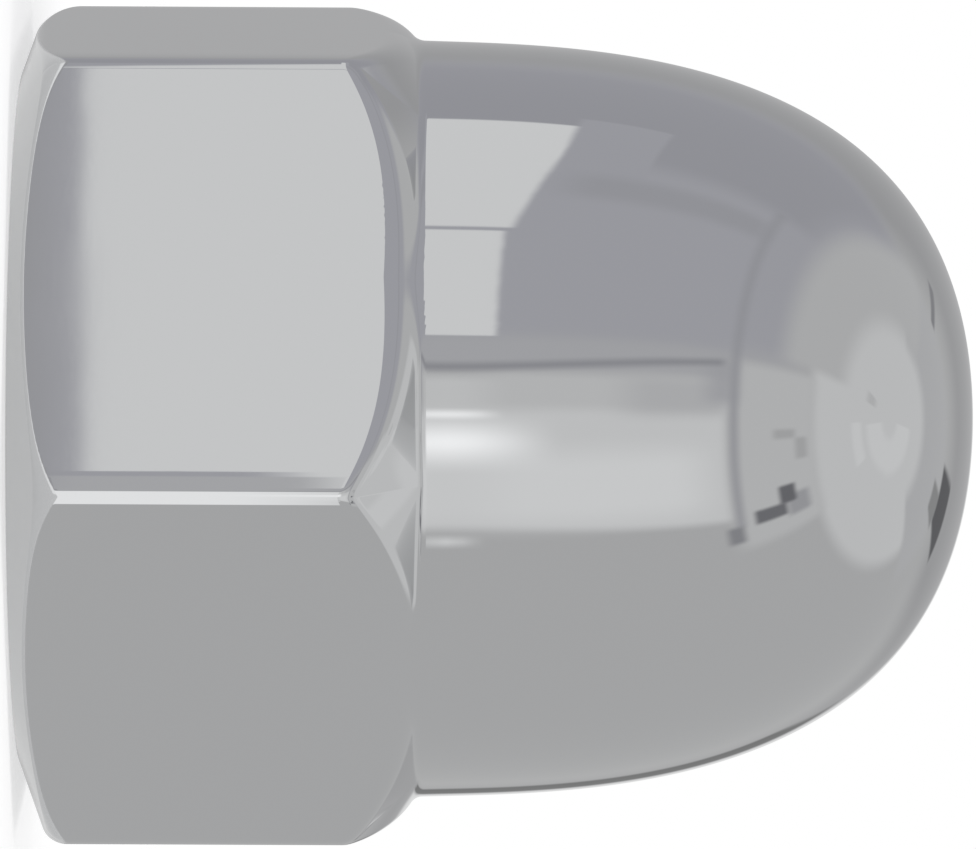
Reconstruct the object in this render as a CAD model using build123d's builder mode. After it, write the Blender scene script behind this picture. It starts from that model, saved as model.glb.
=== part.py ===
"""Cap nut: a domed nut for an M6 screw, turned from hexagon bar, then drilled blind and tapped."""
import os
from math import cos, radians, sin, tan

from build123d import *

os.makedirs("parts", exist_ok=True)

# Overall sizes, in millimetres. The nut stands on its bearing face, with the dome upwards.
across_flats = 9.85
total_height = 12.0
hexagon_height = 4.9

# Hexagon bar: its long corners are slightly round.
corner_round = 0.3

# Bearing end: a flat ring, set in from the flats, and a shallow cone out to the corners.
bearing_inset = 0.52
bearing_cone_angle = 23
bearing_edge_round = 0.1

# Shoulder end: a cone from the foot of the dome down to the corners.
shoulder_cone_angle = 25
shoulder_edge_round = 0.2
shoulder_hollow_round = 0.15

# Dome: set in from the flats by a small step. Its flank leans inwards, and its crown is fuller
# than half a ball. The two fullness values are the handles of its outline, as shares of the
# dome's height and radius.
dome_inset = 0.12
flank_lean_angle = 6.6
flank_fullness = 0.18
crown_fullness = 1.09

# Blind hole, drilled for the thread: a countersink at its mouth, the drill's point at its end.
tap_drill_diameter = 5.0
drill_point_angle = 118
crown_wall = 2.0
countersink_width = 0.7
countersink_angle = 120

# Values that follow from the sizes above.
corner_radius = (across_flats / 2 - corner_round) / cos(radians(30)) + corner_round
bearing_radius = across_flats / 2 - bearing_inset
bearing_cone_height = (corner_radius - bearing_radius) * tan(radians(bearing_cone_angle))
dome_radius = across_flats / 2 - dome_inset
dome_height = total_height - hexagon_height
flank_handle = flank_fullness * dome_height
flank_lean = radians(flank_lean_angle)
shoulder_drop = (corner_radius - dome_radius) * tan(radians(shoulder_cone_angle))
drill_radius = tap_drill_diameter / 2
drill_tip = total_height - crown_wall
drill_shoulder = drill_tip - drill_radius / tan(radians(drill_point_angle / 2))
countersink_depth = countersink_width / tan(radians(countersink_angle / 2))


with BuildPart() as cap_nut:
    # The turned form, as half a section: bearing face, two cones with the corners between, dome.
    with BuildSketch(Plane.XZ):
        with BuildLine():
            Polyline(
                (0, total_height),
                (0, 0),
                (bearing_radius, 0),
                (corner_radius, bearing_cone_height),
                (corner_radius, hexagon_height - shoulder_drop),
                (dome_radius, hexagon_height),
            )
            Bezier(
                (dome_radius, hexagon_height),
                (
                    dome_radius - flank_handle * sin(flank_lean),
                    hexagon_height + flank_handle * cos(flank_lean),
                ),
                (crown_fullness * dome_radius, total_height),
                (0, total_height),
            )
        make_face()
    revolve(axis=Axis.Z)

    # A hollow round leads from the shoulder into the dome.
    dome_foot = cap_nut.edges().filter_by(GeomType.CIRCLE).sort_by(Axis.Z)[-1]
    fillet(dome_foot, shoulder_hollow_round)

    # What stands outside the hexagon bar is cut away. Two of its flats face +Y and -Y.
    with BuildSketch(Plane.XY) as bar_section:
        RegularPolygon(across_flats / 2, 6, major_radius=False)
        fillet(bar_section.vertices(), corner_round)
    extrude(amount=total_height, mode=Mode.INTERSECT)

    # Polishing has rounded the edges where the flats and corners run out into the two cones.
    # Those edges are the hyperbolas of the flats and the short curves of the corners.
    curved_edges = cap_nut.edges().filter_by(GeomType.HYPERBOLA)
    curved_edges += cap_nut.edges().filter_by(GeomType.BSPLINE).filter_by(lambda edge: not edge.is_closed)
    bearing_edges = curved_edges.filter_by_position(Axis.Z, 0, hexagon_height / 2)
    shoulder_edges = curved_edges.filter_by_position(Axis.Z, hexagon_height / 2, hexagon_height)
    fillet(bearing_edges, bearing_edge_round)
    fillet(shoulder_edges, shoulder_edge_round)

    # The blind hole, as half a section about the axis.
    with BuildSketch(Plane.XZ):
        with BuildLine():
            Polyline(
                (0, 0),
                (drill_radius + countersink_width, 0),
                (drill_radius, countersink_depth),
                (drill_radius, drill_shoulder),
                (0, drill_tip),
                close=True,
            )
        make_face()
    revolve(axis=Axis.Z, mode=Mode.SUBTRACT)

cap_nut.part.label = "cap_nut"
export_step(cap_nut.part, "parts/cap_nut.step")

print(f"hole: radius {drill_radius:.3f}, wall from {countersink_depth:.3f} to {drill_shoulder:.3f}")
print(f"volume {cap_nut.part.volume:.1f} cubic mm, height {cap_nut.part.bounding_box().size.Z:.3f}")
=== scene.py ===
# %% [markdown]
# # A chrome plated cap nut
#
# The object is one small piece of metal: a hexagon 9.85 mm across its flats with a high round dome over a
# blind M6 thread, polished and plated with bright chromium. Its whole look comes from two things, the exact
# curves of its surface and the room that the surface mirrors. So this lesson spends its effort there: a mesh
# that follows the real curves to a few thousandths of a millimetre, and a studio laid out panel by panel.
#
# The nut stands on its bearing face with its dome up the Z axis. The camera lies on its side and looks
# straight at it, so in the picture the dome points to the right.

# %% Setting up
import math

import bmesh
import bpy
import numpy as np
from mathutils import Matrix, Vector


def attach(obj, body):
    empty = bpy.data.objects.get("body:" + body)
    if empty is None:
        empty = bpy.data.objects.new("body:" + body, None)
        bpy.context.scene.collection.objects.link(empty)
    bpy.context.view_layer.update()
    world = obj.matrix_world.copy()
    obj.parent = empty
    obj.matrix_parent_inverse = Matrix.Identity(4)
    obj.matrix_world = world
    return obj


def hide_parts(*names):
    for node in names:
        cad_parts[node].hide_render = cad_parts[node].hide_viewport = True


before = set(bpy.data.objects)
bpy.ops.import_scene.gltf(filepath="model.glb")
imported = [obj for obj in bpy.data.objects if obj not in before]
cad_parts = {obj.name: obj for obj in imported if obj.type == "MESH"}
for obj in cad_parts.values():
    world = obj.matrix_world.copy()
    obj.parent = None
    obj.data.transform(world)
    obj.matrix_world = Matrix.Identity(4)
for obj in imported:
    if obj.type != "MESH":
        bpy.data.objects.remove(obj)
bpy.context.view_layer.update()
MM = 0.001

# %% [markdown]
# ## The camera
#
# The picture was taken square to the nut's axis with a long lens. The lens, the distance and the small tilts
# were found by fitting the nut's outline, so they are written here as plain measurements. The hexagon isn't
# square to the camera: one flat looks a little upwards in the picture, one downwards.
# Three directions describe the view: the axis of the nut runs to the right of the picture, `picture_down` is
# the direction across the axis that runs down it, and `into_picture` is the third.

# %% The camera
DISTANCE = 95.0
PIXELS_PER_MM = 78.99
PICTURE_WIDTH = 976
SENSOR_WIDTH = 36.0
HEXAGON_TURN = math.radians(20.2)
CAMERA_PAN = math.radians(0.633)
CAMERA_ROLL = math.radians(-0.272)
AIM_ALONG_AXIS = 5.876
AIM_BELOW_AXIS = 0.071

axis_up = Vector((0, 0, 1))
picture_down = Vector((math.cos(HEXAGON_TURN), math.sin(HEXAGON_TURN), 0))
into_picture = Vector((-math.sin(HEXAGON_TURN), math.cos(HEXAGON_TURN), 0))
view_axes = Matrix((axis_up, picture_down, into_picture)).transposed()
view_axes = view_axes @ Matrix.Rotation(CAMERA_PAN, 3, "Y") @ Matrix.Rotation(CAMERA_ROLL, 3, "Z")
right, down, into = (view_axes.col[i] for i in range(3))
aim = axis_up * AIM_ALONG_AXIS + picture_down * AIM_BELOW_AXIS
eye = (aim - into * DISTANCE) * MM

lens = bpy.data.cameras.new("product_camera")
lens.sensor_width = SENSOR_WIDTH
lens.lens = PIXELS_PER_MM * DISTANCE * SENSOR_WIDTH / PICTURE_WIDTH
lens.clip_start = 0.005
lens.clip_end = 20.0
camera = bpy.data.objects.new("product_camera", lens)
bpy.context.scene.collection.objects.link(camera)
placing = Matrix((right, -down, -into)).transposed().to_4x4()
placing.translation = eye
camera.matrix_world = placing
bpy.context.scene.camera = camera
bpy.context.scene.view_settings.view_transform = "Standard"
print("lens of", round(lens.lens, 1), "mm, eye at", [round(v / MM, 2) for v in eye], "mm")

# %% [markdown]
# ## The shape of the nut as a field
#
# A polished surface shows every fault in its normals, so the nut isn't pushed and pulled into shape. It is
# written as a field: a number for each point in space, negative in the metal and positive outside, roughly the
# distance to the surface in millimetres. The hexagon, the cone under it, the cone over it and the flat bearing
# face are four such fields, and the solid is where all are negative.
#
# The cone over the hexagon isn't quite a cone: polishing has worn it steeper at the corners, so it leans from
# 31 degrees over the middle of a flat to 44.5 at a corner. The edges are softened too. `rounded` joins two
# fields with a true circular fillet: beside the edge it measures the distance to a rod of the fillet's radius
# that touches both faces.

# %% Sizes of the nut and its edges
ACROSS_FLATS = 9.85
HEIGHT = 12.0
BASE_CONE_RADIUS, BASE_CONE_LEAN = 4.38, math.radians(20)
BASE_EDGE_ROUND, BASE_CORNER_ROUND = 0.05, 0.36
BEARING_EDGE_ROUND = 0.06
SHOULDER_HEIGHT, SHOULDER_LEAN, LEAN_AT_CORNER = 4.88, math.radians(31), math.radians(44.5)
SHOULDER_EDGE_ROUND, SHOULDER_CORNER_ROUND = 0.62, 0.35
HOLLOW_ROUND = 0.16
HALF_CORNER = math.pi / 6


def rounded(a, b, radius, cosine):
    """The corner where two faces meet, with a fillet; cosine is that of the angle between their normals."""
    deep_a, deep_b = a + radius, b + radius
    side = 1 - cosine * cosine
    near_a = (deep_a - cosine * deep_b) / side
    near_b = (deep_b - cosine * deep_a) / side
    squared = (deep_a * deep_a + deep_b * deep_b - 2 * cosine * deep_a * deep_b) / side
    rod = np.sqrt(np.maximum(squared, 0)) - radius
    return np.where((near_a > 0) & (near_b > 0), rod, np.maximum(a, b))


print("bearing ring out to", BASE_CONE_RADIUS, "mm, shoulder at", SHOULDER_HEIGHT, "mm")

# %% [markdown]
# ## The corners of the bar
#
# A buffing wheel gives way a little, so a polished corner isn't a plain quarter circle. The flat begins to roll
# off well before the corner, slowly, and most of the turn is made in a tight round at its middle. The mirror
# shows this as reflections that stretch towards each corner. So the corner is walked in small steps, with a
# heading made of two parts: a tight turn and a broad one.

# %% The corner of the bar
TIGHT_TURN, BROAD_TURN, BROAD_SHARE = 0.20, 0.70, 0.22
WALK_LENGTH, WALK_STEPS = 3.2, 6400

walked = np.linspace(0, WALK_LENGTH, WALK_STEPS + 1)
heading = 0
for width, part in ((TIGHT_TURN, 1 - BROAD_SHARE), (BROAD_TURN, BROAD_SHARE)):
    way = np.clip(walked / width, 0, 1)
    heading = heading + HALF_CORNER * part * (way + np.sin(math.pi * way) / math.pi)
stride = walked[1] - walked[0]
between = (heading[1:] + heading[:-1]) / 2
across = np.concatenate([[0], np.cumsum(np.cos(between) * stride)])
along = np.concatenate([[0], -np.cumsum(np.sin(between) * stride)])
along += (ACROSS_FLATS / 2 - across[-1] * math.sin(HALF_CORNER)) / math.cos(HALF_CORNER) - along[-1]
corner_angle, corner_reach = np.arctan2(across, along), np.hypot(across, along)
corner_slope = np.gradient(corner_reach, corner_angle)


def hexagon_bar(radius, angle):
    """How far a point lies outside the bar; angle is measured from the middle of the nearest flat."""
    from_corner = HALF_CORNER - np.abs(angle)
    reach = np.interp(from_corner, corner_angle, corner_reach)
    slope = np.interp(from_corner, corner_angle, corner_slope)
    return (radius - reach) / np.sqrt(1 + (slope / reach) ** 2)


print("across corners", round(2 * corner_reach[0], 3), "mm")
print("heading on the flat", round(math.degrees(heading[-1]), 2), "degrees")

# %% [markdown]
# ## The dome
#
# The dome isn't a half ball. Its flank leans in a little from the start and then turns ever faster into a
# broad crown. One cubic curve does it: it starts at the dome's foot along the flank and arrives at the top
# square to the axis. The field needs to know how far a point lies outside that curve, and it is enough to
# measure along the line from a centre on the axis, then to allow for the slope of the curve there.

# %% The dome's curve
DOME_FOOT_RADIUS, DOME_FOOT_HEIGHT = 4.789, 4.792
FLANK_LEAN = math.radians(3.0)
FLANK_FULLNESS, CROWN_FULLNESS = 0.2445, 1.053
CURVE_STEPS = 1600

rise = HEIGHT - DOME_FOOT_HEIGHT
pull = FLANK_FULLNESS * rise
foot = np.array([DOME_FOOT_RADIUS, DOME_FOOT_HEIGHT])
flank = foot + pull * np.array([-math.sin(FLANK_LEAN), math.cos(FLANK_LEAN)])
crown = np.array([CROWN_FULLNESS * DOME_FOOT_RADIUS, HEIGHT])
top = np.array([0.0, HEIGHT])
share = np.linspace(0, 1, CURVE_STEPS + 1)[:, None]
curve = (1 - share) ** 3 * foot + 3 * share * (1 - share) ** 2 * flank
curve = curve + 3 * share**2 * (1 - share) * crown + share**3 * top
curve_angle = np.arctan2(curve[:, 1] - SHOULDER_HEIGHT, curve[:, 0])
curve_reach = np.hypot(curve[:, 0], curve[:, 1] - SHOULDER_HEIGHT)
curve_slope = np.gradient(curve_reach, curve_angle)


def dome(radius, height):
    """How far a point lies outside the dome."""
    angle = np.arctan2(height - SHOULDER_HEIGHT, radius)
    reach = np.interp(angle, curve_angle, curve_reach)
    slope = np.interp(angle, curve_angle, curve_slope)
    return (np.hypot(radius, height - SHOULDER_HEIGHT) - reach) / np.sqrt(1 + (slope / reach) ** 2)


print("dome rises", round(rise, 3), "mm over a foot of radius", DOME_FOOT_RADIUS)

# %% [markdown]
# ## The whole nut as one field
#
# All the parts come together here. Buffing has worn the corners more than the flats, and the field says so
# with one number, `worn`, that runs from 0 over the middle of a flat to 1 at a corner. The dome is joined only
# from a little under the shoulder upwards, because lower down its curve isn't known.

# %% The nut's field
BASE_ROUND_POWER, LEAN_POWER = 8, 2
JOINED_FROM = SHOULDER_HEIGHT - 0.6


def nut_field(x, y, z):
    """Negative inside the nut's outer shape, positive outside."""
    radius = np.hypot(x, y)
    angle = np.mod(np.arctan2(y, x), 2 * HALF_CORNER) - HALF_CORNER
    worn = np.abs(angle) / HALF_CORNER
    base_round = BASE_EDGE_ROUND + (BASE_CORNER_ROUND - BASE_EDGE_ROUND) * worn**BASE_ROUND_POWER
    shoulder_round = SHOULDER_EDGE_ROUND + (SHOULDER_CORNER_ROUND - SHOULDER_EDGE_ROUND) * worn
    lean = SHOULDER_LEAN + (LEAN_AT_CORNER - SHOULDER_LEAN) * worn**LEAN_POWER
    base_cone = (radius - BASE_CONE_RADIUS) * math.sin(BASE_CONE_LEAN) - z * math.cos(BASE_CONE_LEAN)
    over_flats = radius - ACROSS_FLATS / 2
    shoulder = (z - SHOULDER_HEIGHT) * np.cos(lean) + over_flats * np.sin(lean)
    body = rounded(hexagon_bar(radius, angle), base_cone, base_round, math.sin(BASE_CONE_LEAN))
    body = rounded(body, -z, BEARING_EDGE_ROUND, math.cos(BASE_CONE_LEAN))
    body = rounded(body, shoulder, shoulder_round, np.sin(lean))
    joined = -rounded(-body, -dome(radius, z), HOLLOW_ROUND, np.sin(lean))
    return np.where(z > JOINED_FROM, joined, body)


print("field at the top:", float(nut_field(0.001, 0.0, HEIGHT)))

# %% [markdown]
# ## From the field to a mesh
#
# Marching cubes would turn any field into a mesh, but with ragged triangles that a mirror finish shows at
# once. The nut's outside can be seen whole from one point on its axis, so each vertex is found instead by
# looking outwards from that point and halving the step until the field is zero. The rows then follow the form.
#
# The hexagon repeats twelve times, as a half sector from the middle of a flat to a corner and its mirror image.
# Only that half sector is computed. Its columns crowd together at the corner. In each column the rows crowd
# where the surface turns, which gives each rounded edge its own loops.

# %% Looking outwards for the surface
LOOKOUT_HEIGHT = 3.5
NEAREST, FARTHEST, HALVINGS = 1.0, 10.0, 44


def reach_outwards(polar, azimuth):
    """Distance from the lookout point to the surface, for angles from the axis and round it."""
    out, up = np.sin(polar), np.cos(polar)
    near, far = np.full(polar.shape, NEAREST), np.full(polar.shape, FARTHEST)
    for _ in range(HALVINGS):
        middle = (near + far) / 2
        radius, height = middle * out, LOOKOUT_HEIGHT + middle * up
        inside = nut_field(radius * np.cos(azimuth), radius * np.sin(azimuth), height) < 0
        near, far = np.where(inside, middle, near), np.where(inside, far, middle)
    return (near + far) / 2


def evenly_by(weight, values, count):
    """Values picked so that the same amount of weight lies between each two."""
    total = np.concatenate([[0], np.cumsum(weight)])
    return np.interp(np.linspace(0, total[-1], count), total, values)


print("surface at", reach_outwards(np.array([0.001]), np.array([0.0])).round(3), "mm over the lookout point")

# %% The rows and columns of half a sector
BEARING_RING_RADIUS = 3.9
COLUMNS_PER_HALF_SECTOR, ROWS = 36, 166
FIRST_ANGLE, FINE_ANGLES = 1e-4, 3000
CORNER_CROWDING = 1.55
TURN_WEIGHT = 0.55
SMOOTHED_OVER = 25
FIRST_FLAT = math.pi / 6

lowest = math.pi - math.atan2(BEARING_RING_RADIUS, LOOKOUT_HEIGHT)
fine = np.linspace(FIRST_ANGLE, lowest, FINE_ANGLES)
to_corner = 1 - (1 - np.linspace(0, 1, COLUMNS_PER_HALF_SECTOR + 1)) ** CORNER_CROWDING
half_sector = HALF_CORNER * to_corner
window = np.ones(SMOOTHED_OVER) / SMOOTHED_OVER
profiles = []
for turn in half_sector:
    azimuth = FIRST_FLAT + turn
    distance = reach_outwards(fine, np.full(fine.shape, azimuth))
    out, up = distance * np.sin(fine), distance * np.cos(fine)
    step = np.hypot(np.diff(out), np.diff(up))
    heading = np.unwrap(np.arctan2(np.diff(up), np.diff(out)))
    bend = np.abs(np.gradient(heading))
    bend = np.convolve(np.pad(bend, SMOOTHED_OVER // 2, mode="edge"), window, mode="valid")
    weight = (1 - TURN_WEIGHT) * step / step.sum() + TURN_WEIGHT * bend / bend.sum()
    profiles.append(evenly_by(weight, fine, ROWS))
row_angles = np.array(profiles)
row_azimuths = np.repeat(FIRST_FLAT + half_sector, ROWS).reshape(row_angles.shape)
row_reach = reach_outwards(row_angles, row_azimuths)
print("half sector of", row_angles.shape, "points")
print("reach", row_reach.min().round(3), "to", row_reach.max().round(3), "mm")

# %% The whole outside
middles = FIRST_FLAT + np.arange(6) * math.pi / 3
mirror = list(range(COLUMNS_PER_HALF_SECTOR, 0, -1)) + list(range(COLUMNS_PER_HALF_SECTOR))
sides = [-1] * COLUMNS_PER_HALF_SECTOR + [1] * COLUMNS_PER_HALF_SECTOR
column_of = mirror * 6
azimuths = np.concatenate([middle + np.array(sides) * half_sector[mirror] for middle in middles])
polar, reach = row_angles[column_of], row_reach[column_of]
points_out = np.stack(
    [
        reach * np.sin(polar) * np.cos(azimuths)[:, None],
        reach * np.sin(polar) * np.sin(azimuths)[:, None],
        LOOKOUT_HEIGHT + reach * np.cos(polar),
    ],
    axis=-1,
)
outside = points_out[:, 1:, :].reshape(-1, 3)
columns, rows = len(azimuths), ROWS - 1
apex = len(outside)
outside = np.vstack([outside, [0.0, 0.0, HEIGHT]])
faces = []
for c in range(columns):
    here, there = c * rows, (c + 1) % columns * rows
    faces.append((apex, here, there))
    faces += [(here + r, here + r + 1, there + r + 1, there + r) for r in range(rows - 1)]
outer_rim = [c * rows + rows - 1 for c in range(columns)]
print(len(outside), "points and", len(faces), "faces outside, lowest", outside[:, 2].min().round(4))

# %% [markdown]
# ## The countersink and the thread
#
# Under the nut a 120 degree countersink leads into a right hand M6 thread with a pitch of 1 mm. It was drilled
# 5 mm wide, tapped until the tap ran out of room, and the last of the drilled wall and the drill's own cone
# are left behind it. A displacement map would blur the thread's crests, and a straight grid would cut across
# them in steps. So the rows of this mesh climb with the thread: each row keeps its place in the thread's
# profile, and the last column joins the first one turn higher up.

# %% The thread
PITCH = 1.0
DRILL_RADIUS, THREAD_RADIUS = 2.5, 3.0
COUNTERSINK_RADIUS, COUNTERSINK_LEAN = 3.2, math.radians(60)
FULL_THREAD_TO, THREAD_ENDS_AT = 6.6, 7.9
HOLE_WALL_TO, DRILL_TIP = 8.498, 10.0
HOLE_COLUMNS = 120
END_MARGIN = 0.01
PROFILE_PHASES = (0.0, 0.149, 0.293, 0.4375, 0.5, 0.5625, 0.707, 0.851)
PROFILE_DEPTHS = (0.0, 0.0, 0.5, 1.0, 1.04, 1.0, 0.5, 0.0)


def hole_radius(height, depth):
    """Radius of the hole's wall at a height, for a place in the thread's profile."""
    left = np.clip((THREAD_ENDS_AT - height) / (THREAD_ENDS_AT - FULL_THREAD_TO), 0, 1)
    cut = DRILL_RADIUS + (THREAD_RADIUS - DRILL_RADIUS) * depth * left * left * (3 - 2 * left)
    return np.maximum(cut, COUNTERSINK_RADIUS - height * math.tan(COUNTERSINK_LEAN))


print("thread", 2 * THREAD_RADIUS, "mm wide, full up to", FULL_THREAD_TO, "mm")

# %% The points and faces of the thread
hole_points, lattice = [], []
turns = range(-2, int(HOLE_WALL_TO / PITCH) + 2)
first = len(outside)
for c in range(HOLE_COLUMNS):
    angle = 2 * math.pi * c / HOLE_COLUMNS
    direction = np.array([math.cos(angle), math.sin(angle)])
    mouth = first + len(hole_points)
    hole_points.append([*(direction * COUNTERSINK_RADIUS), 0.0])
    end = first + len(hole_points)
    hole_points.append([*(direction * DRILL_RADIUS), HOLE_WALL_TO])
    ladder = []
    for turn in turns:
        for phase, depth in zip(PROFILE_PHASES, PROFILE_DEPTHS):
            height = (turn + phase + c / HOLE_COLUMNS) * PITCH
            if height <= END_MARGIN:
                ladder.append(mouth)
            elif height >= HOLE_WALL_TO - END_MARGIN:
                ladder.append(end)
            else:
                ladder.append(first + len(hole_points))
                hole_points.append([*(direction * float(hole_radius(height, depth))), height])
    lattice.append((mouth, end, ladder))

for c in range(HOLE_COLUMNS):
    mouth, end, ladder = lattice[c]
    _, next_end, following = lattice[(c + 1) % HOLE_COLUMNS]
    if c == HOLE_COLUMNS - 1:
        following = following[len(PROFILE_PHASES):] + [next_end] * len(PROFILE_PHASES)
    for k in range(len(ladder) - 1):
        corners = []
        for index in (ladder[k], ladder[k + 1], following[k + 1], following[k]):
            if index not in corners:
                corners.append(index)
        if len(corners) > 2:
            faces.append(tuple(corners))
print(len(hole_points), "points in the hole")

# %% The drill's cone
CONE_RINGS = 7
tip = first + len(hole_points)
hole_points.append([0.0, 0.0, DRILL_TIP])
ring = [end for _, end, _ in lattice]
for step_in in range(1, CONE_RINGS):
    share_in = step_in / CONE_RINGS
    inner = []
    for c in range(HOLE_COLUMNS):
        angle = 2 * math.pi * c / HOLE_COLUMNS
        radius = DRILL_RADIUS * (1 - share_in)
        inner.append(first + len(hole_points))
        height = HOLE_WALL_TO + (DRILL_TIP - HOLE_WALL_TO) * share_in
        hole_points.append([radius * math.cos(angle), radius * math.sin(angle), height])
    for c in range(HOLE_COLUMNS):
        d = (c + 1) % HOLE_COLUMNS
        faces.append((ring[c], inner[c], inner[d], ring[d]))
    ring = inner
faces += [(ring[c], tip, ring[(c + 1) % HOLE_COLUMNS]) for c in range(HOLE_COLUMNS)]
print("drill's point at", DRILL_TIP, "mm")

# %% [markdown]
# ## The bearing ring
#
# The nut stands on a flat ring between the countersink's mouth and the base cone. Its two circles of vertices
# have different spacings. So it is one strip of triangles, and each step goes on along the circle whose next
# vertex comes first.

# %% The bearing ring
mouth_ring = [mouth for mouth, _, _ in lattice]
rim_turn = np.unwrap(azimuths)
mouth_turn = 2 * math.pi * np.arange(HOLE_COLUMNS + 1) / HOLE_COLUMNS
rim_turn = np.append(rim_turn, rim_turn[0] + 2 * math.pi)
a = int(np.searchsorted(rim_turn, 0.0))
rim_order = [
    (i % columns, rim_turn[i] if i <= columns else rim_turn[i - columns] + 2 * math.pi)
    for i in range(a, a + columns + 1)
]
i = j = 0
while i < columns or j < HOLE_COLUMNS:
    rim_here = outer_rim[rim_order[i][0]]
    mouth_here = mouth_ring[j % HOLE_COLUMNS]
    rim_next = rim_order[i + 1][1] if i < columns else math.inf
    mouth_next = mouth_turn[j + 1] if j < HOLE_COLUMNS else math.inf
    if rim_next <= mouth_next:
        faces.append((mouth_here, outer_rim[rim_order[i + 1][0]], rim_here))
        i += 1
    else:
        faces.append((mouth_here, mouth_ring[(j + 1) % HOLE_COLUMNS], rim_here))
        j += 1
print(len(faces), "faces in all")

# %% The nut as a Blender object
nut_mesh = bpy.data.meshes.new("chromed_cap_nut")
nut_mesh.from_pydata(np.vstack([outside, hole_points]) * MM, [], faces)
work = bmesh.new()
work.from_mesh(nut_mesh)
bmesh.ops.recalc_face_normals(work, faces=work.faces[:])
open_edges = sum(1 for edge in work.edges if len(edge.link_faces) != 2)
triangles = sum(len(face.verts) - 2 for face in work.faces)
volume = work.calc_volume(signed=True)
work.to_mesh(nut_mesh)
work.free()
nut = bpy.data.objects.new("chromed_cap_nut", nut_mesh)
bpy.context.scene.collection.objects.link(nut)
print(triangles, "triangles,", open_edges, "open edges, volume", round(volume * 1e9, 1), "mm3")

# %% [markdown]
# ## Normals from the field
#
# A mirror shows the normals and not the faces. Blender averages the faces round each vertex, which is close,
# but the field gives the exact answer: its steepest direction. So the outside gets its normals from the field,
# and the hole keeps Blender's, with hard edges where its faces meet at more than 25 degrees.

# %% Exact normals outside
SHARP_ANGLE = math.radians(25)
NUDGE = 2e-4
nut_mesh.shade_smooth()
nut_mesh.set_sharp_from_angle(angle=SHARP_ANGLE)
slopes = []
for axis in range(3):
    moved = np.zeros(3)
    moved[axis] = NUDGE
    ahead, behind = (outside + moved).T, (outside - moved).T
    slopes.append(nut_field(*ahead) - nut_field(*behind))
exact = np.array(slopes).T
exact[apex] = (0, 0, 1)
exact /= np.linalg.norm(exact, axis=1)[:, None]
print(len(exact), "normals from the field")

# %% The normals on the mesh
corner_normals = np.zeros(len(nut_mesh.loops) * 3)
nut_mesh.corner_normals.foreach_get("vector", corner_normals)
corner_normals = corner_normals.reshape(-1, 3)
corner_vertices = np.zeros(len(nut_mesh.loops), dtype=int)
nut_mesh.loops.foreach_get("vertex_index", corner_vertices)
on_outside = corner_vertices < len(outside)
from_field = exact[corner_vertices[on_outside]]
agreement = (corner_normals[on_outside] * from_field).sum(1)
apart = np.degrees(np.arccos(np.clip(agreement, -1, 1)))
corner_normals[on_outside] = from_field
nut_mesh.normals_split_custom_set(corner_normals.tolist())
print("Blender's own normals were up to", apart.max().round(2), "degrees off")
print("on average", apart.mean().round(3), "degrees")

# %% [markdown]
# ## Small helpers for materials
#
# Colours are written as they look on a screen, as sRGB hex, and one function turns them to the linear values
# that Blender mixes. One more function adds a node, sets its inputs and links it. Both metals have marks that
# run round the axis, as the turning and the buffing left them, so a third function gives the place on the nut
# in millimetres and as distance from the axis and height. Blender's noise mostly lies between 0.3 and 0.7,
# and the ranges of both finishes are laid over that stretch.

# %% Helpers
def linear(code):
    """Linear RGBA of an sRGB hex colour."""
    parts = [int(code[k:k + 2], 16) / 255 for k in (1, 3, 5)]
    return [p / 12.92 if p <= 0.04045 else ((p + 0.055) / 1.055) ** 2.4 for p in parts] + [1.0]


def add(tree, kind, settings=None, **inputs):
    """Adds a node; settings are its own, and each input gets a value or a link, by name or as in_0, in_1."""
    node = tree.nodes.new(kind)
    for name, value in (settings or {}).items():
        setattr(node, name, value)
    for name, value in inputs.items():
        key = int(name[3:]) if name.startswith("in_") else name.replace("_", " ")
        socket = node.inputs[key]
        if isinstance(value, bpy.types.NodeSocket):
            tree.links.new(value, socket)
        else:
            socket.default_value = value
    return node


def new_material(name):
    """An empty node material and its output."""
    material = bpy.data.materials.new(name)
    material.use_nodes = True
    material.node_tree.nodes.clear()
    return material, material.node_tree, material.node_tree.nodes.new("ShaderNodeOutputMaterial")


def place_in_mm(tree):
    """The place on the nut in millimetres, and its distance from the axis and height as a second vector."""
    place = add(tree, "ShaderNodeTexCoord")
    in_mm = add(tree, "ShaderNodeVectorMath", {"operation": "SCALE"}, in_0=place.outputs["Object"],
                Scale=1 / MM)
    parts = add(tree, "ShaderNodeSeparateXYZ", Vector=in_mm.outputs[0])
    across = add(tree, "ShaderNodeCombineXYZ", X=parts.outputs["X"], Y=parts.outputs["Y"], Z=0.0)
    from_axis = add(tree, "ShaderNodeVectorMath", {"operation": "LENGTH"}, in_0=across.outputs[0])
    turned = add(tree, "ShaderNodeCombineXYZ", X=from_axis.outputs["Value"], Y=parts.outputs["Z"], Z=0.0)
    return in_mm.outputs[0], turned.outputs[0]


NOISE_LOW, NOISE_HIGH = 0.3, 0.7
print("mid grey", linear("#808080"))

# %% [markdown]
# ## Bright chromium plate
#
# The nut is plated with bright nickel and then a fraction of a micrometre of chromium. Chromium reflects a
# little over half of the light, very slightly bluish, and more at a glancing angle, which a metallic Principled
# shader does by itself. Buffing before the plating leaves a faint orange peel about a millimetre across, and
# hair lines round the axis that only just blur the reflections. Both are made as small as the real ones: a bump
# of about half a micrometre, and a roughness that wanders between 0.02 and 0.034 in clouds about 3 mm across.

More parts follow.
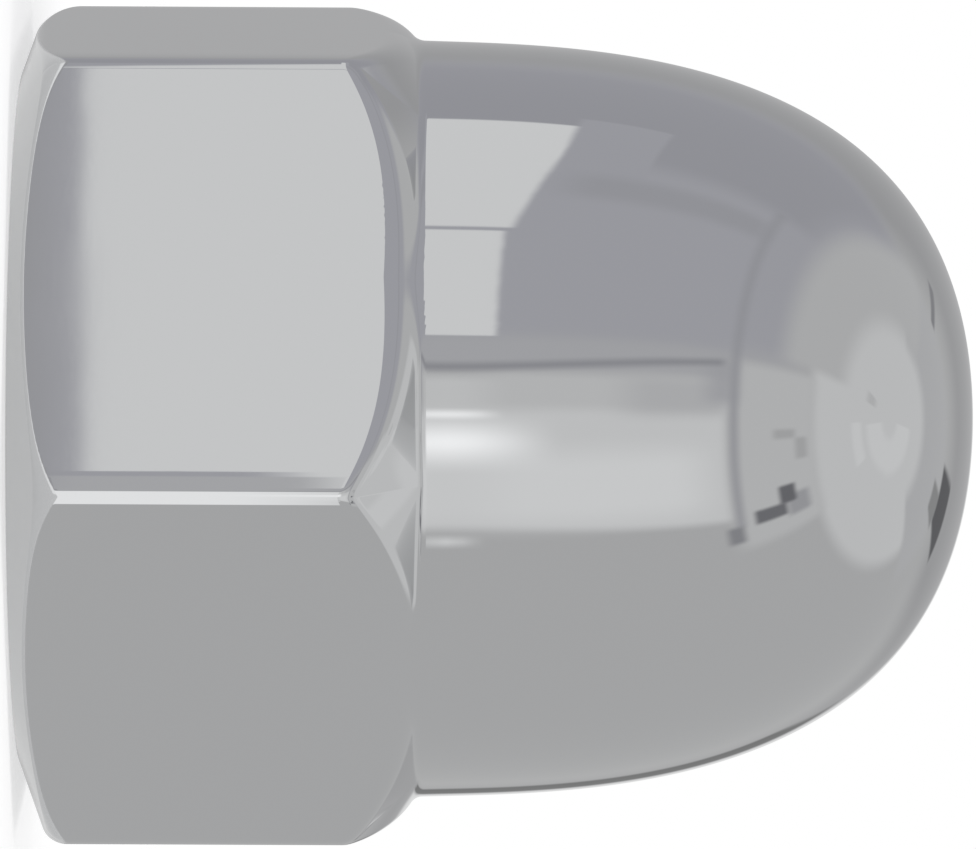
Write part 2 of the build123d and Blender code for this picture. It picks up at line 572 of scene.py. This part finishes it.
# %% Chromium plate
CHROMIUM = "#C4C5C6"
PEEL_SIZE, PEEL_HEIGHT = 1.3, 0.0006
HAIR_LINE_WIDTH, HAIR_LINE_SHARE = 0.05, 0.4
CLOUDS_PER_MM = 0.35
SMOOTHEST, ROUGHEST = 0.02, 0.034
chrome, tree, output = new_material("bright_chromium_plate")
in_mm, turned = place_in_mm(tree)
peel = add(tree, "ShaderNodeTexNoise", Vector=in_mm, Scale=1 / PEEL_SIZE, Detail=1.0, Roughness=0.4)
lines = add(tree, "ShaderNodeTexNoise", Vector=turned, Scale=1 / HAIR_LINE_WIDTH, Detail=2.0)
cloud = add(tree, "ShaderNodeTexNoise", Vector=in_mm, Scale=CLOUDS_PER_MM, Detail=3.0, Roughness=0.55)
mixed = add(tree, "ShaderNodeMix", {"data_type": "FLOAT"}, in_0=HAIR_LINE_SHARE, in_2=cloud.outputs[0],
            in_3=lines.outputs[0])
rough = add(tree, "ShaderNodeMapRange", Value=mixed.outputs[0], in_1=NOISE_LOW, in_2=NOISE_HIGH,
            in_3=SMOOTHEST, in_4=ROUGHEST)
bump = add(tree, "ShaderNodeBump", Strength=1.0, Distance=PEEL_HEIGHT * MM, Height=peel.outputs[0])
plate = add(tree, "ShaderNodeBsdfPrincipled", Base_Color=linear(CHROMIUM), Metallic=1.0,
            Roughness=rough.outputs[0], Normal=bump.outputs[0])
tree.links.new(plate.outputs[0], output.inputs["Surface"])
print("chromium", CHROMIUM, "is", [round(v, 3) for v in linear(CHROMIUM)])

# %% [markdown]
# ## Thin plate in the bore
#
# Plating current hardly reaches into a blind hole. So the thread keeps the grey of machined steel under a
# breath of nickel, with the fine rings that the tap and the drill left, much finer than the thread itself.

# %% Plate in the bore
DARK_STEEL, PALE_STEEL = "#85827C", "#96948F"
TOOL_MARK, MARK_HEIGHT = 0.04, 0.002
CUT_SMOOTHEST, CUT_ROUGHEST = 0.24, 0.42
bore, tree, output = new_material("thin_plate_on_cut_steel")
_, turned = place_in_mm(tree)
marks = add(tree, "ShaderNodeTexNoise", Vector=turned, Scale=1 / TOOL_MARK, Detail=2.0)
rough = add(tree, "ShaderNodeMapRange", Value=marks.outputs[0], in_1=NOISE_LOW, in_2=NOISE_HIGH,
            in_3=CUT_SMOOTHEST, in_4=CUT_ROUGHEST)
shade = add(tree, "ShaderNodeMix", {"data_type": "RGBA"}, in_0=marks.outputs[0], in_6=linear(DARK_STEEL),
            in_7=linear(PALE_STEEL))
bump = add(tree, "ShaderNodeBump", Strength=0.5, Distance=MARK_HEIGHT * MM, Height=marks.outputs[0])
steel = add(tree, "ShaderNodeBsdfPrincipled", Base_Color=shade.outputs[2], Metallic=1.0,
            Roughness=rough.outputs[0], Normal=bump.outputs[0])
tree.links.new(steel.outputs[0], output.inputs["Surface"])
print("tool marks", TOOL_MARK, "mm wide")

# %% [markdown]
# ## Where each metal goes
#
# The bright plate covers the outside, the bearing ring and the countersink, as the plating current does. The
# thin plate starts where the countersink ends.

# %% The two metals on the nut
nut_mesh.materials.append(chrome)
nut_mesh.materials.append(bore)
COUNTERSINK_DEPTH = (COUNTERSINK_RADIUS - DRILL_RADIUS) / math.tan(COUNTERSINK_LEAN)
inside_faces = 0
for face in nut_mesh.polygons:
    if min(face.vertices) >= first and face.center.z / MM > COUNTERSINK_DEPTH:
        face.material_index = 1
        inside_faces += 1
print(inside_faces, "faces of the hole have the thin plate")

# %% The nut in the frame
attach(nut, "root")
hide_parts("cap_nut")
print("the nut stands for the CAD node and rides on root")

# %% [markdown]
# ## The floor
#
# The picture's background is plain white. A floor that lit up by itself would lose the nut's shadow, so the
# floor is a pale disc whose lit part is topped up to white for the camera and for reflections, and the shadow
# stays. It fades out towards its rim, where the studio's white carries on. Seen from under it the disc is
# clear, so the base of the nut can be looked at too.

# %% The floor
FLOOR_RADIUS, FLOOR_GAP = 60.0, 0.01
FLOOR_RINGS, FLOOR_SECTORS = 24, 96
RING_GROWTH = 1.5
floor_mesh = bpy.data.meshes.new("pale_floor")
floor_points, floor_faces = [(0.0, 0.0, 0.0)], []
for ring_number in range(1, FLOOR_RINGS + 1):
    radius = FLOOR_RADIUS * (ring_number / FLOOR_RINGS) ** RING_GROWTH * MM
    for c in range(FLOOR_SECTORS):
        angle = 2 * math.pi * c / FLOOR_SECTORS
        floor_points.append((radius * math.cos(angle), radius * math.sin(angle), 0.0))
for c in range(FLOOR_SECTORS):
    d = (c + 1) % FLOOR_SECTORS
    floor_faces.append((0, 1 + c, 1 + d))
    for ring_number in range(FLOOR_RINGS - 1):
        inner, outer = 1 + ring_number * FLOOR_SECTORS, 1 + (ring_number + 1) * FLOOR_SECTORS
        floor_faces.append((inner + c, outer + c, outer + d, inner + d))
floor_mesh.from_pydata(floor_points, [], floor_faces)
floor = bpy.data.objects.new("pale_floor", floor_mesh)
bpy.context.scene.collection.objects.link(floor)
floor.location.z = -FLOOR_GAP * MM
print("floor of radius", FLOOR_RADIUS, "mm")

# %% [markdown]
# ## The floor's white
#
# The floor is matt paper. The camera sees it topped up to white by a little light of its own, so the shadow
# stays. The mirror sees less of that light, and only near the nut: further out the floor is clear for it, and
# the studio's own floor light, painted later, takes over.

# %% Matt white paper
PAPER = "#D8D8D8"
FADE_FROM, FADE_TO = 0.35, 0.95
TOP_UP, MIRROR_SHARE = 0.52, 0.6
MIRROR_FADE_FROM, MIRROR_FADE_TO, MIRROR_CLEAR = 5.0, 9.0, 0.55
pale, tree, output = new_material("matt_white_floor")
place = add(tree, "ShaderNodeTexCoord")
rays = add(tree, "ShaderNodeLightPath")
from_nut = add(tree, "ShaderNodeVectorMath", {"operation": "LENGTH"}, in_0=place.outputs["Object"])
fade = add(tree, "ShaderNodeMapRange", {"interpolation_type": "SMOOTHSTEP"}, Value=from_nut.outputs["Value"],
           in_1=FADE_FROM * FLOOR_RADIUS * MM, in_2=FADE_TO * FLOOR_RADIUS * MM, in_3=0.0, in_4=1.0)
paper = add(tree, "ShaderNodeBsdfDiffuse", Color=linear(PAPER))
seen = add(tree, "ShaderNodeMath", {"operation": "MAXIMUM"}, in_0=rays.outputs["Is Camera Ray"],
           in_1=rays.outputs["Is Transmission Ray"])
seen_more = add(tree, "ShaderNodeMath", {"operation": "MULTIPLY"}, in_0=rays.outputs["Is Glossy Ray"],
                in_1=MIRROR_SHARE)
lift = add(tree, "ShaderNodeMath", {"operation": "MAXIMUM"}, in_0=seen.outputs[0], in_1=seen_more.outputs[0])
strength = add(tree, "ShaderNodeMath", {"operation": "MULTIPLY"}, in_0=lift.outputs[0], in_1=TOP_UP)
glow = add(tree, "ShaderNodeEmission", Color=linear("#FFFFFF"), Strength=strength.outputs[0])
both = add(tree, "ShaderNodeAddShader", in_0=paper.outputs[0], in_1=glow.outputs[0])
print("the paper is topped up by", TOP_UP)

# %% Where the floor is clear
clear = add(tree, "ShaderNodeBsdfTransparent", Color=linear("#FFFFFF"))
mirrored = add(tree, "ShaderNodeMapRange", {"interpolation_type": "SMOOTHSTEP"},
               Value=from_nut.outputs["Value"], in_1=MIRROR_FADE_FROM * MM, in_2=MIRROR_FADE_TO * MM,
               in_3=MIRROR_CLEAR, in_4=1.0)
in_mirror = add(tree, "ShaderNodeMath", {"operation": "MULTIPLY"}, in_0=rays.outputs["Is Glossy Ray"],
                in_1=mirrored.outputs[0])
faded = add(tree, "ShaderNodeMath", {"operation": "MAXIMUM"}, in_0=fade.outputs[0], in_1=in_mirror.outputs[0])
under = add(tree, "ShaderNodeNewGeometry")
gone = add(tree, "ShaderNodeMath", {"operation": "MAXIMUM"}, in_0=faded.outputs[0],
           in_1=under.outputs["Backfacing"])
whole = add(tree, "ShaderNodeMixShader", in_0=gone.outputs[0], in_1=both.outputs[0], in_2=clear.outputs[0])
tree.links.new(whole.outputs[0], output.inputs["Surface"])
floor_mesh.materials.append(pale)
print("the floor is clear from", FADE_TO * FLOOR_RADIUS, "mm outwards")

# %% [markdown]
# ## The studio that the nut mirrors
#
# Chrome has no look of its own, so the studio is laid out like a drawing round the nut. Each direction is given
# by two angles: `round_axis`, which is 0 towards the top of the picture, 90 towards the camera and 180 towards
# its bottom, and `up_axis`, the height towards the dome's end. A soft grey room is painted first, and then each
# patch over it: the lit ceiling, two window panels, the broad lit wall beside the camera, the dark lines where
# walls meet, and a few small dark things that give the mirror something to bite on.
#
# The world shader does this, and area lamps on stands could too. The world gives every panel a soft edge of
# its own, costs no noise, and is the same from all sides. The patches are first written down in lists, in the
# order in which they are painted, and then painted all at once.

# %% The two angles of a direction
world = bpy.data.worlds.new("grey_studio")
bpy.context.scene.world = world
world.use_nodes = True
sky = world.node_tree
sky.nodes.clear()
world_output = sky.nodes.new("ShaderNodeOutputWorld")
direction = add(sky, "ShaderNodeTexCoord").outputs["Generated"]
up_part = add(sky, "ShaderNodeVectorMath", {"operation": "DOT_PRODUCT"}, in_0=direction, in_1=axis_up)
top_part = add(sky, "ShaderNodeVectorMath", {"operation": "DOT_PRODUCT"}, in_0=direction, in_1=-picture_down)
near_part = add(sky, "ShaderNodeVectorMath", {"operation": "DOT_PRODUCT"}, in_0=direction, in_1=-into_picture)
turned = add(sky, "ShaderNodeMath", {"operation": "ARCTAN2"}, in_0=near_part.outputs["Value"],
             in_1=top_part.outputs["Value"])
raised = add(sky, "ShaderNodeMath", {"operation": "ARCSINE"}, in_0=up_part.outputs["Value"])
round_axis = add(sky, "ShaderNodeMath", {"operation": "DEGREES"}, in_0=turned.outputs[0]).outputs[0]
up_axis = add(sky, "ShaderNodeMath", {"operation": "DEGREES"}, in_0=raised.outputs[0]).outputs[0]
print("each direction has its two angles")

# %% How a patch is painted
HALF_TURN, STRAIGHT_UP = 180, 90


def edge(value, start, end):
    """A soft step from 0 at start to 1 at end."""
    step_node = add(sky, "ShaderNodeMapRange", {"interpolation_type": "SMOOTHSTEP"}, Value=value,
                    in_1=min(start, end), in_2=max(start, end),
                    in_3=float(start > end), in_4=float(start < end))
    return step_node.outputs[0]


def patch(below, colour, across, upwards, soft=1.0, slant=0.0, tilt=0.0, strength=1.0, amount=1.0):
    """Paints a soft edged patch between two angles each way over what is below it.

    slant leans its sides and tilt its top and bottom; strength goes past white, amount lets some show through.
    A side that lies beyond the whole turn, or beyond straight up or down, gets no node, which saves time.
    """
    sideways, upward, masks = round_axis, up_axis, []
    if slant:
        sideways = add(sky, "ShaderNodeMath", {"operation": "MULTIPLY_ADD"}, in_0=up_axis, in_1=-slant,
                       in_2=round_axis).outputs[0]
    if tilt:
        upward = add(sky, "ShaderNodeMath", {"operation": "MULTIPLY_ADD"}, in_0=round_axis, in_1=tilt,
                     in_2=up_axis).outputs[0]
    for value, (start, end), limit in ((sideways, across, HALF_TURN), (upward, upwards, STRAIGHT_UP)):
        if start > -limit:
            masks.append(edge(value, start - soft, start + soft))
        if end < limit:
            masks.append(edge(value, end + soft, end - soft))
    mask = masks[0]
    for side in masks[1:] + [amount] * (amount < 1):
        mask = add(sky, "ShaderNodeMath", {"operation": "MULTIPLY"}, in_0=mask, in_1=side).outputs[0]
    full = [channel * strength for channel in linear(colour)[:3]] + [1.0]
    return add(sky, "ShaderNodeMix", {"data_type": "RGBA"}, in_0=mask, in_6=below, in_7=full).outputs[2]


print("a patch is painted between two angles each way")

# %% The grey room
ROOM = "#D3D3D3"
patches = [
    ("#BABABB", (-116, -36), (-90, 43), dict(soft=8.0)),
    ("#C5C5CB", (-48, 66), (-90, 52), dict(soft=9.0)),
    ("#C6C6CC", (-10, 64), (-90, 36), dict(soft=5.0)),
    ("#BABAC0", (-47, 1), (-90, 44), dict(soft=5.0, amount=0.9)),
    ("#EEEEEE", (-200, 200), (57, 100), dict(soft=2.5)),
    ("#D6D6D7", (-135, -45), (50, 69), dict(soft=3.0)),
    ("#DADADA", (-60, 64), (48, 68), dict(soft=4.0)),
    ("#E2E2E2", (68, 140), (36, 58), dict(soft=3.0)),
]
print(len(patches), "patches for the room")

# %% The wall beside the camera and the two windows
patches += [
    ("#CECED1", (66, 76), (-90, 34), dict(soft=3.0)),
    ("#FFFFFF", (-13, 30), (-0.4, 8.0), dict(soft=0.45, tilt=0.085)),
    ("#C5C5CB", (-17, 8), (8.05, 16), dict(soft=0.45)),
    ("#FFFFFF", (31.2, 65), (-0.9, 5.0), dict(soft=0.3)),
    ("#FFFFFF", (31.2, 53.0), (-2.47, 0.6), dict(soft=0.07)),
    ("#BEBEC1", (-20, 88), (-9.0, -2.75), dict(soft=0.35)),
    ("#F4F4F4", (77, 122.6), (-0.8, 35), dict(soft=2.0, slant=0.14)),
    ("#FAFAFA", (100, 122), (2, 30), dict(soft=6.0, strength=1.07)),
    ("#E6E6E6", (76, 87), (4, 35), dict(soft=2.5)),
    ("#DADADB", (76, 88), (18, 35), dict(soft=4.0)),
    ("#C6C6CA", (68, 84), (31, 37), dict(soft=3.0, amount=0.8)),
    ("#FFFFFF", (93, 101), (-4, 5), dict(soft=6.0, strength=1.9)),
    ("#FFFFFF", (88, 89.5), (1.5, 4.5), dict(soft=1.5, strength=1.6)),
    ("#FFFFFF", (126, 128.5), (0, 3), dict(soft=1.5, strength=1.4)),
    ("#D3D3D5", (54.5, 76), (-2.75, -0.6), dict(soft=0.3)),
    ("#FFFFFF", (77.5, 149), (-9.0, -0.3), dict(soft=1.2, strength=1.33)),
]
print(len(patches), "patches with the bright places")

# %% The dark lines and the small dark things
patches += [
    ("#AFAFB4", (74.0, 76.2), (-0.8, 34), dict(soft=1.4, slant=-0.17)),
    ("#BABABF", (8, 17), (9, 36), dict(soft=3.0, amount=0.7)),
    ("#BABABF", (0, 131), (35.5, 37.5), dict(soft=1.2, amount=0.8)),
    ("#BEBEC1", (123, 133), (48, 54.5), dict(soft=1.6)),
    ("#828286", (118.5, 126.5), (46.3, 50.8), dict(soft=1.0)),
    ("#88888C", (126, 131.5), (39.8, 47.8), dict(soft=1.0)),
    ("#A6A6AA", (130.5, 137), (33.5, 37), dict(soft=1.2)),
    ("#CDCDCD", (94, 98), (46, 52), dict(soft=1.3)),
    ("#CDCDCD", (98, 108), (52, 55.5), dict(soft=1.3)),
    ("#DDDDDD", (53, 67), (78, 82), dict(soft=1.5)),
    ("#F7F7F7", (92, 131), (72, 76), dict(soft=1.2)),
    ("#F7F7F7", (95, 200), (78.5, 86), dict(soft=1.5)),
    ("#F7F7F7", (-200, -98), (78, 86), dict(soft=1.5)),
    ("#A8A8A8", (-112, -104), (49, 55), dict(soft=1.0)),
    ("#747476", (-110, -98), (39, 49), dict(soft=1.0)),
    ("#8A8A8A", (-115, -106), (-6, 13), dict(soft=1.5)),
    ("#E8E8E8", (-104, -90), (-6, 11), dict(soft=2.5)),
    ("#A0A0A3", (-71.5, -69), (40, 50), dict(soft=0.8)),
]
print(len(patches), "patches with the dark places")

# %% The floor's light from below
patches += [
    ("#F2F2F2", (-200, 200), (-100, -9.5), dict(soft=3.5)),
    ("#FFFFFF", (-10, 100), (-20, -8), dict(soft=2.5, strength=1.25)),
]
print(len(patches), "patches in all")

# %% [markdown]
# ## Painting the room by zones of height
#
# One chain of all the patches would make each ray work through every one of them. So the room is painted in
# five zones of height, each with only the patches that reach into it. The switch between two zones is a plain
# yes or no, and at such a mix the renderer leaves out the side that isn't wanted: the same picture for less
# work. No seam shows, as a patch that crosses a limit is painted on both sides of it.

# %% Painting the room by zones of height
ZONE_LIMITS = (-90, -10.5, 11.1, 41.1, 57, 90)
studio, painted = None, 0
for lowest, highest in zip(ZONE_LIMITS, ZONE_LIMITS[1:]):
    room = linear(ROOM)
    for colour, across, upwards, look in patches:
        fringe = look["soft"] + look.get("tilt", 0.0) * (max(map(abs, across)) + look["soft"])
        if upwards[0] - fringe < highest and upwards[1] + fringe > lowest:
            room = patch(room, colour, across, upwards, **look)
            painted += 1
    zone = add(sky, "ShaderNodeBackground", Color=room, Strength=1.0)
    if studio:
        above = add(sky, "ShaderNodeMath", {"operation": "GREATER_THAN"}, in_0=up_axis, in_1=lowest)
        zone = add(sky, "ShaderNodeMixShader", in_0=above.outputs[0], in_1=studio.outputs[0],
                   in_2=zone.outputs[0])
    studio = zone
print(painted, "patches painted in", len(ZONE_LIMITS) - 1, "zones")

# %% What the camera sees of the studio
rays = add(sky, "ShaderNodeLightPath")
white = add(sky, "ShaderNodeBackground", Color=linear("#FFFFFF"), Strength=1.0)
seen = add(sky, "ShaderNodeMixShader", in_0=rays.outputs["Is Camera Ray"], in_1=studio.outputs[0],
           in_2=white.outputs[0])
sky.links.new(seen.outputs[0], world_output.inputs["Surface"])
print("studio of", len(sky.nodes), "nodes")

# %% [markdown]
# ## One soft lamp
#
# The room alone would leave the shadow the same all round. One large soft lamp over the nut gives the floor a
# side from which the light comes. The mirror already has its panels, so this lamp isn't seen in reflections.

# %% The lamp
LAMP_SIZE, LAMP_DISTANCE, LAMP_WATTS = 60.0, 120.0, 0.0125
TOWARDS_LAMP = Vector((0.45, -0.35, 1.0)).normalized()
softbox = bpy.data.lights.new("overhead_softbox", "AREA")
softbox.shape = "DISK"
softbox.size = LAMP_SIZE * MM
softbox.energy = LAMP_WATTS
lamp = bpy.data.objects.new("overhead_softbox", softbox)
bpy.context.scene.collection.objects.link(lamp)
lamp.location = TOWARDS_LAMP * LAMP_DISTANCE * MM
lamp.rotation_euler = TOWARDS_LAMP.to_track_quat("Z", "Y").to_euler()
lamp.visible_glossy = False
lamp.visible_camera = False
print("softbox at", [round(v / MM, 1) for v in lamp.location], "mm")
